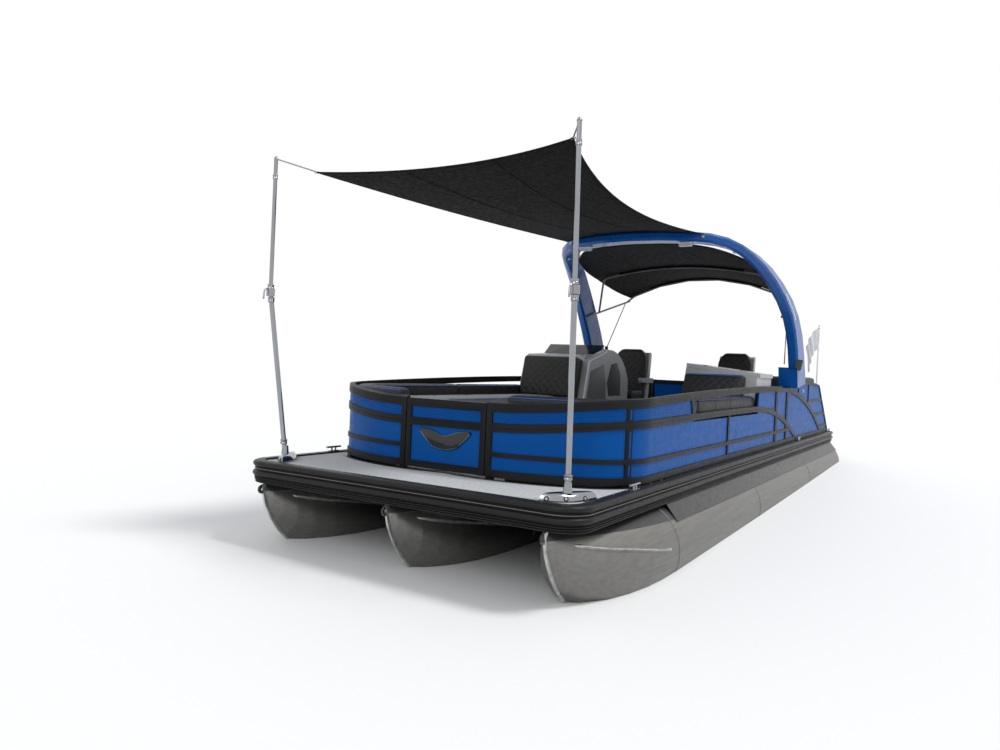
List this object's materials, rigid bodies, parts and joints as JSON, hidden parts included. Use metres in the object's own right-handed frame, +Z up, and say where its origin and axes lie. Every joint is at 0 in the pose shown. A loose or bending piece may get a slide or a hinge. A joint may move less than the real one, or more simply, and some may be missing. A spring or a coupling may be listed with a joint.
{
  "type": "pontoon boat",
  "caption": "Pontoon boat with a fenced deck on sealed tubes, an arch with a canopy and bow shade sail, helm, benches, gates, ladder and a tilting outboard motor.",
  "frame": {"origin": "On the waterline, amidships, on the centreline", "axes": "X forward, Y to port, Z up"},
  "size_m": [8.977, 2.805, 3.3247],
  "materials": {
    "aluminium_satin": "satin",
    "deck_mat": "woven mat",
    "rail_charcoal": "satin",
    "panel_blue": "metallic gloss",
    "rub_black": "satin",
    "skirt_black": "satin",
    "bench_shell": "moulded",
    "black_vinyl": "stitched",
    "grey_vinyl": "grained",
    "silver_moulding": "gloss",
    "smoke_glass": "smoked",
    "arch_blue": "metallic gloss",
    "polished_steel": "polished",
    "black_cloth": "woven",
    "white_cloth": "woven",
    "staff_white": "gloss",
    "cowl_dark": "gloss",
    "leg_dark": "satin",
    "lamp_clear": "clear lens",
    "frame_tube": "anodised",
    "prop_steel": "brushed",
    "wheel_grip": "stitched"
  },
  "bodies": {
    "hull": {"deck": "deck_mat", "rub_rail": "rub_black", "tube_port": "aluminium_satin", "tube_centre": "aluminium_satin", "tube_starboard": "aluminium_satin", "cross_members": "aluminium_satin", "risers": "aluminium_satin", "side_skirts": "skirt_black", "motor_pod": "aluminium_satin", "fence_frame_port": "rail_charcoal", "fence_frame_starboard": "rail_charcoal", "fence_panels_port": "panel_blue", "fence_panels_starboard": "panel_blue", "stern_fence_frame": "rail_charcoal", "stern_fence_panel": "panel_blue", "bow_bench_bases": "bench_shell", "bow_cushions": "grey_vinyl", "console_backrests": "black_vinyl", "helm_console": "silver_moulding", "windscreen": "smoke_glass", "port_console": "silver_moulding", "port_console_top": "silver_moulding", "chair_pedestals": "polished_steel", "stern_lounge_base": "bench_shell", "stern_lounge_cushions": "black_vinyl", "arch": "arch_blue", "arch_lamps": "lamp_clear", "canopy": "black_cloth", "canopy_frame": "frame_tube", "mast_castings": "polished_steel", "mast_port": "polished_steel", "mast_starboard": "polished_steel", "sail": "black_cloth", "sail_lines": "polished_steel", "flag_staff": "staff_white", "flag": "white_cloth", "clamp_bracket": "leg_dark", "ladder_bracket": "polished_steel", "cleats": "polished_steel"},
    "bow_gate": {"bow_gate_frame": "rail_charcoal", "bow_gate_panel": "panel_blue"},
    "side_gate": {"side_gate_frame": "rail_charcoal", "side_gate_panel": "panel_blue"},
    "stern_gate": {"stern_gate_frame": "rail_charcoal", "stern_gate_panel": "panel_blue"},
    "helm_wheel": {"steering_wheel": "wheel_grip"},
    "helm_seat": {"helm_chair": "silver_moulding", "helm_chair_cushions": "black_vinyl"},
    "port_seat": {"port_chair": "silver_moulding", "port_chair_cushions": "black_vinyl"},
    "motor_bracket": {"swivel_bracket": "leg_dark"},
    "motor": {"motor_leg": "leg_dark", "motor_cowl": "cowl_dark"},
    "prop": {"propeller": "prop_steel"},
    "boarding_ladder": {"ladder": "polished_steel"},
    "ladder_slider": {"ladder_extension": "polished_steel"}
  },
  "joints": [
    {"name": "bow_gate_hinge", "type": "hinge", "parent": "hull", "child": "bow_gate", "pos_m": [3.552, -0.326, 0.68], "axis": [0, 0, 1], "range_deg": [0, 90]},
    {"name": "side_gate_hinge", "type": "hinge", "parent": "hull", "child": "side_gate", "pos_m": [-0.669, 1.177, 0.68], "axis": [0, 0, 1], "range_deg": [0, 90]},
    {"name": "stern_gate_hinge", "type": "hinge", "parent": "hull", "child": "stern_gate", "pos_m": [-3.248, -1.116, 0.68], "axis": [0, 0, 1], "range_deg": [0, 90]},
    {"name": "helm_seat_swivel", "type": "hinge", "parent": "hull", "child": "helm_seat", "pos_m": [-0.985, -0.64, 0.8], "axis": [0, 0, 1], "continuous": true},
    {"name": "port_seat_swivel", "type": "hinge", "parent": "hull", "child": "port_seat", "pos_m": [-1.57, 0.48, 0.8], "axis": [0, 0, 1], "continuous": true},
    {"name": "motor_tilt", "type": "hinge", "parent": "hull", "child": "motor_bracket", "pos_m": [-4.225, 0, 0.395], "axis": [0, 1, 0], "range_deg": [0, 66]},
    {"name": "motor_steer", "type": "hinge", "parent": "motor_bracket", "child": "motor", "pos_m": [-4.32, 0, 0.3], "axis": [0, 0, 1], "range_deg": [-30, 30]},
    {"name": "prop_turn", "type": "hinge", "parent": "motor", "child": "prop", "pos_m": [-4.7, 0, -0.5], "axis": [1, 0, 0], "continuous": true},
    {"name": "wheel_turn", "type": "hinge", "parent": "hull", "child": "helm_wheel", "pos_m": [-0.306, -0.7, 1.244], "axis": [-0.8097, 0, 0.5868], "range_deg": [-720, 720]},
    {"name": "ladder_hinge", "type": "hinge", "parent": "hull", "child": "boarding_ladder", "pos_m": [-4.245, 0.8, 0.516], "axis": [0, -1, 0], "range_deg": [0, 255]},
    {"name": "ladder_slide", "type": "slide", "parent": "boarding_ladder", "child": "ladder_slider", "axis": [1, 0, 0], "range_m": [0, 0.36]}
  ],
  "couplings": [
    {"joint": "wheel_turn", "follows": "motor_steer", "ratio": 24}
  ]
}
